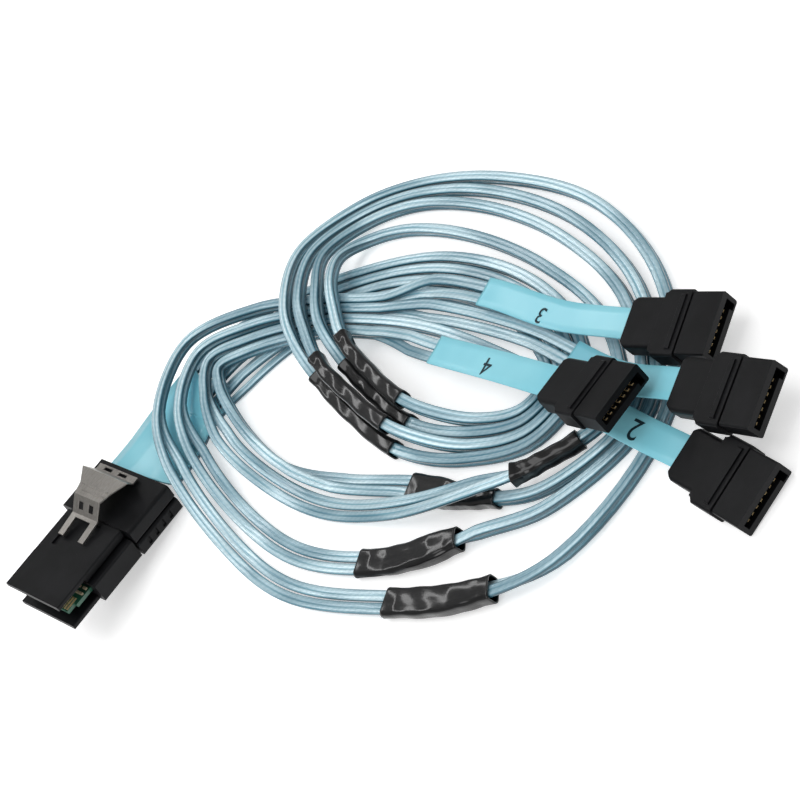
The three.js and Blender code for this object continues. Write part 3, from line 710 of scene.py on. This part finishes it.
for name, spans in SLEEVES.items():
    for word, (start, end) in zip(("inner", "outer"), spans):
        frames = [ROUTES[name].frame(row) for row in rows_from(start, end, SLEEVE_RINGS)]
        outer = sleeve_outline(SLEEVE_WALL, SLEEVE_CREASES, start)
        piece = carry(f"shrunk_{word}_sleeve_{name}", frames, outer, sleeve_outline(0))
        hand_over(piece, RUBBER, hides=[f"{word}_sleeve_{name}"])
print("sleeves:", 2 * len(SLEEVES))

# %% [markdown]
# A label is a strip of thin blue film along the last stretch of its cable. It is carried along
# the same route as the ribbons, a small gap above them, and its edges roll down a little.

# %% Labels
LABEL_WIDTH = .0062
LABEL_THICK = .0004
LABEL_DIP = .00012
LABEL_RINGS = 60
LABEL_LENGTHS = {"a": .041, "b": .031, "c": .0375, "d": .024}


def strip_outline(place, _share):
    *_, rise = place
    low = rise + RIBBON_THICK / 2 + GAP
    top = low + LABEL_THICK
    w = LABEL_WIDTH / 2
    return [(w, low), (w, top - LABEL_DIP), (w * .96, top), (w * .5, top), (0, top - LABEL_DIP / 2),
            (-w * .5, top), (-w * .96, top), (-w, top - LABEL_DIP), (-w, low), (0, low)]


for name, length in LABEL_LENGTHS.items():
    route = ROUTES[name]
    rows = rows_from(route.row_before(length), route.last, LABEL_RINGS)
    frames = [route.frame(row) for row in rows]
    frames.append(route.past_end(END_REACH))
    piece = carry(f"film_label_{name}", frames, strip_outline)
    hand_over(piece, FILM_BLUE, hides=[f"label_{name}"])
print("labels:", len(LABEL_LENGTHS))

# %% [markdown]
# The host plug's label spans all four cables. It starts just behind the plug's shells and follows
# the cables' heights, so it slants where they do.

# %% Host label
HOST_LABEL_ROWS = (.02, 2.5)
HOST_LABEL_MARGIN = .0009
HOST_LABEL_TUCK = .0004
HOST_LABEL_RINGS = 40
FOUR = [ROUTES[name] for name in CABLES]


def host_frame(row):
    """The first cable's frame, with the other cables' places in it."""
    point, side, up, *_ = FOUR[0].frame(row)
    local = []
    for route in FOUR:
        there, *_, rise = route.frame(row)
        away = there - point
        local.append((away.dot(side), away.dot(up) + rise + RIBBON_THICK / 2 + GAP))
    slant = abs((local[0][1] - local[3][1]) / (local[0][0] - local[3][0]))
    lift = slant * (PAIR_SPREAD + RIBBON_WIDTH / 2)
    return point, side, up, [(s, u + lift) for s, u in local]


def host_outline(place, _share):
    """A strip through all four cables' places, a little wider than the outer two."""
    reach = PAIR_SPREAD + RIBBON_WIDTH / 2 + HOST_LABEL_MARGIN
    local = place[3]
    right, left = local[3], local[0]
    bottom = [(right[0] - reach, right[1]), *reversed(local), (left[0] + reach, left[1])]
    return [(s, u + LABEL_THICK) for s, u in reversed(bottom)] + bottom


frames = [host_frame(row) for row in rows_from(*HOST_LABEL_ROWS, HOST_LABEL_RINGS)]
point, side, up, local = frames[0]
frames.insert(0, (point - side.cross(up) * HOST_LABEL_TUCK, side, up, local))
wide_label = carry("film_host_label", frames, host_outline)
hand_over(wide_label, FILM_BLUE, hides=["host_label"])
print("host label width:", round(wide_label.dimensions.y, 4))

# %% [markdown]
# ## Moulded pieces
# The CAD solids of the plugs have the right shape but knife-sharp edges. They could be modelled
# again, but then they might no longer fit. Instead, a merged copy gets a small bevel on each
# edge, as a mould gives, and stands for its node. Weighted normals keep its flat faces flat.

# %% Round the edges of the plugs' solids


def rounded_copy(node_name, width, material, body="cable"):
    """A copy of a CAD node with its doubles merged and its edges bevelled."""
    source = frame["nodes"][node_name]
    piece = bpy.data.objects.new(f"moulded_{node_name}", source.data.copy())
    bpy.context.collection.objects.link(piece)
    piece.matrix_world = source.matrix_world.copy()
    only(piece)
    bpy.ops.object.mode_set(mode="EDIT")
    bpy.ops.mesh.select_all(action="SELECT")
    bpy.ops.mesh.remove_doubles(threshold=.000005)
    bpy.ops.mesh.dissolve_limited(angle_limit=math.radians(1))
    bpy.ops.object.mode_set(mode="OBJECT")
    bevel = piece.modifiers.new("edges", "BEVEL")
    bevel.width = width
    bevel.segments = 2
    bevel.limit_method = "ANGLE"
    bevel.angle_limit = math.radians(35)
    bpy.ops.object.modifier_apply(modifier="edges")
    bpy.ops.object.shade_smooth_by_angle(angle=math.radians(40))
    level = piece.modifiers.new("level", "WEIGHTED_NORMAL")
    level.keep_sharp = True
    bpy.ops.object.modifier_apply(modifier="level")
    hand_over(piece, material, body=body, hides=[node_name])
    return piece


for node_name in ("upper_shell", "lower_shell", "cable_clamp"):
    rounded_copy(node_name, .00012, PLASTIC)
rounded_copy("paddle_card", .00005, BOARD)
rounded_copy("latch_spring", .00008, STEEL, body="latch")
for name in CABLES:
    rounded_copy(f"housing_{name}", .0001, PLASTIC)
    rounded_copy(f"cover_{name}", .00012, PLASTIC)

# %% [markdown]
# ## Contacts
# Seven gilded springs lie on the lower wall of each plug's slot, bent down at the tip so that a
# drive's blade slides over them. A bent strip could be bevelled from a curve. A bar that is cut
# into stations is simpler, because each station is then moved one by one. One spring is shaped,
# and the others are copies with meshes of their own.

# %% Gold contacts
CONTACT_PITCH = .00127
CONTACT_COUNT = 7
CONTACT_SHIFT = -.0003
CONTACT_SIZE = (.0037, .00054, .0004)
CONTACT_LIFT = .00017
CONTACT_EDGE = .00005
CONTACT_CENTRE_X = -.0029
CONTACT_STATIONS = 6
SLOT_FLOOR = -.00275


def select_where(piece, test):
    """Select the vertices whose place passes the test, and only those."""
    shape = bmesh.from_edit_mesh(piece.data)
    for vertex in shape.verts:
        vertex.select_set(test(vertex.co))
    shape.select_flush(False)
    bmesh.update_edit_mesh(piece.data)


def contact_spring():
    """A bar cut into stations, raised in its middle and pressed down at its tip."""
    bpy.ops.object.select_all(action="DESELECT")
    bpy.ops.mesh.primitive_cube_add(size=1)
    spring = bpy.context.object
    spring.name = "contact"
    spring.scale = CONTACT_SIZE
    bpy.ops.object.transform_apply(scale=True)
    length, _, height = CONTACT_SIZE
    bpy.ops.object.mode_set(mode="EDIT")
    bpy.ops.mesh.select_mode(type="VERT")
    bpy.ops.mesh.select_all(action="SELECT")
    bpy.ops.mesh.subdivide(number_cuts=CONTACT_STATIONS - 1)
    for station in range(CONTACT_STATIONS + 1):
        share = station / CONTACT_STATIONS
        x = length * (share - .5)
        select_where(spring, lambda at: at.z > height * .01 and abs(at.x - x) < length * .01)
        lift = .35 * math.sin(math.pi * min(1, share * 1.1)) - 2.5 * max(0, share - .8)
        bpy.ops.transform.translate(value=(0, 0, height * lift))
    bpy.ops.object.mode_set(mode="OBJECT")
    bevel = spring.modifiers.new("edges", "BEVEL")
    bevel.width = CONTACT_EDGE
    bevel.segments = 2
    bpy.ops.object.modifier_apply(modifier="edges")
    bpy.ops.object.shade_smooth_by_angle(angle=math.radians(50))
    return spring


SPRING = contact_spring()
first = CONTACT_SHIFT - CONTACT_PITCH * (CONTACT_COUNT - 1) / 2
for name in CABLES:
    for i in range(CONTACT_COUNT):
        piece = bpy.data.objects.new(f"contact_{name}_{i + 1}", SPRING.data.copy())
        bpy.context.collection.objects.link(piece)
        own = Vector((CONTACT_CENTRE_X, first + i * CONTACT_PITCH, SLOT_FLOOR + CONTACT_LIFT))
        piece.matrix_world = place_of(name) @ Matrix.Translation(own)
        hand_over(piece, GOLD)
        ON_CABLE[name].append(piece)
bpy.data.objects.remove(SPRING)
print("contacts:", CONTACT_COUNT * len(CABLES))

# %% [markdown]
# ## The paddle card
# The card slides into a socket on a board, so its front edge carries gold pads, and a few small
# ceramic chips sit behind them. They are too thin for the CAD model. Each is a block with
# rounded edges that stands just proud of the card.

# %% Gold pads and chips
PAD_COUNT = 18
PAD_PITCH = .0008
PAD_X = -.0035
PAD_SIZE = (.0032, .0005, .00006)
CHIPS = ((-.0064, .0072), (-.0064, .0058), (-.0078, .0071), (-.0078, .0052))
CHIP_SIZE = (.0006, .0011, .0004)
CARD_TOP = -.0043


def slab(name, centre, size, edge, material):
    """A small block in the host plug's own directions, with its edges rounded."""
    bpy.ops.object.select_all(action="DESELECT")
    bpy.ops.mesh.primitive_cube_add(size=1)
    piece = bpy.context.object
    piece.name = name
    piece.scale = size
    bpy.ops.object.transform_apply(scale=True)
    bevel = piece.modifiers.new("edges", "BEVEL")
    bevel.width = edge
    bevel.segments = 2
    bpy.ops.object.modifier_apply(modifier="edges")
    piece.matrix_world = place_of("host") @ Matrix.Translation(centre)
    hand_over(piece, material)
    return piece


for i in range(PAD_COUNT):
    y = (i - (PAD_COUNT - 1) / 2) * PAD_PITCH
    slab(f"pad_{i + 1}", (PAD_X, y, CARD_TOP + .00002), PAD_SIZE, .000012, GOLD)
for i, (x, y) in enumerate(CHIPS):
    slab(f"chip_{i + 1}", (x, y, CARD_TOP + CHIP_SIZE[2] / 2), CHIP_SIZE, .00005,
         CERAMIC)
print("pads:", PAD_COUNT, "chips:", len(CHIPS))

# %% [markdown]
# ## Digits
# Three labels carry a plain digit, so that the drives go in the right order. The digits are read
# from the far side of the table. Text is made a mesh before it is placed, and it lies on the
# label as ink would, a hair's breadth thick.

# %% Digits on three labels
# Cable, digit, distance back from the cable's end, distance to the left, and height.
DIGITS = (
    ("a", "3", .0217, -.0009, .0034),
    ("c", "4", .0200, -.0005, .0038),
    ("d", "2", .0108, 0, .0040),
)
INK_THICK = .00002
EM_OF_HEIGHT = 1.4

for name, digit, back, left, height in DIGITS:
    bpy.ops.object.select_all(action="DESELECT")
    bpy.ops.object.text_add()
    piece = bpy.context.object
    piece.name = f"digit_{digit}"
    piece.data.body = digit
    piece.data.align_x = "CENTER"
    piece.data.align_y = "CENTER"
    piece.data.size = height * EM_OF_HEIGHT
    piece.data.extrude = INK_THICK
    bpy.ops.object.convert(target="MESH")
    route = ROUTES[name]
    point, side, up, _, rise = route.frame(route.row_before(back))
    lift = rise + RIBBON_THICK / 2 + GAP + LABEL_THICK + 2 * INK_THICK
    ahead = side.cross(up)
    turn = Matrix((-ahead, -side, up)).transposed().to_4x4()
    piece.matrix_world = Matrix.Translation(point + side * left + up * lift) @ turn
    hand_over(piece, INK)
    ON_CABLE[name].append(piece)
print("digits:", len(DIGITS))

# %% [markdown]
# ## The ribbons, counted
# Every ribbon leaves the clamp in the host plug and ends in its own SATA plug. The loop below
# goes over the ribbons but changes nothing, and the cell ends by printing their number.

for piece, path, name, number in CORDS:
    if number == 1:
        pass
    else:
        name == "a"
print("cords:", len(CORDS))

# %% [markdown]
# ## Floor, backdrop and light
# The photograph has a white background with soft shadows. A wide lamp above and one at each side
# give the soft light, and a narrow one behind draws bright streaks on the sleeves. The floor glows
# a little, for the camera and in reflections only, so it shows white and keeps the shadow.

# %% Floor and lamps
FLOOR_SIZE = 6
FLOOR_GLOW = (.46, .46, .46, 1)
FLOOR_WHITE = (.93, .93, .93, 1)
MIDDLE = (.05, -.07, 0)
WORLD_STRENGTH = .3


def stage():
    """A white table that glows for the camera and for reflections, but lights nothing."""
    bpy.ops.mesh.primitive_plane_add(size=FLOOR_SIZE)
    floor = bpy.context.object
    floor.name = "floor"
    made, tree, shader = new_material("table_white", Roughness=.9, Base_Color=FLOOR_WHITE,
                                      Emission_Strength=1.0)
    seen = node(tree, "ShaderNodeLightPath")
    glossy = other_output(seen, "Is Glossy Ray")
    either = node(tree, "ShaderNodeMath", {"operation": "MAXIMUM"}, (seen, glossy))
    glow = mix(tree, either, (0, 0, 0, 1), FLOOR_GLOW)
    feed(tree, shader, Emission_Color=glow)
    floor.data.materials.append(made)


def lamp(name, at, towards, size, power):
    """A rectangular lamp of a size in metres and a power in watts, turned towards a place."""
    data = bpy.data.lights.new(name, "AREA")
    data.shape = "RECTANGLE"
    data.size, data.size_y = size
    data.energy = power
    made = bpy.data.objects.new(name, data)
    bpy.context.collection.objects.link(made)
    made.location = at
    made.rotation_euler = (Vector(towards) - Vector(at)).to_track_quat("-Z", "Y").to_euler()


bpy.ops.object.select_all(action="DESELECT")
stage()
lamp("soft_top", (.0, .1, .9), MIDDLE, (.7, .7), 3.4)
lamp("left_window", (-.7, -.2, .45), MIDDLE, (.35, .8), 2.4)
lamp("right_window", (.75, -.5, .4), MIDDLE, (.3, .8), 1.6)
lamp("streak", (.15, .7, .62), MIDDLE, (.9, .05), .8)
world = bpy.data.worlds.new("studio")
bpy.context.scene.world = world
world.use_nodes = True
background = world.node_tree.nodes["Background"]
background.inputs["Color"].default_value = (1, 1, 1, 1)
background.inputs["Strength"].default_value = WORLD_STRENGTH
bpy.context.scene.view_settings.view_transform = "Standard"
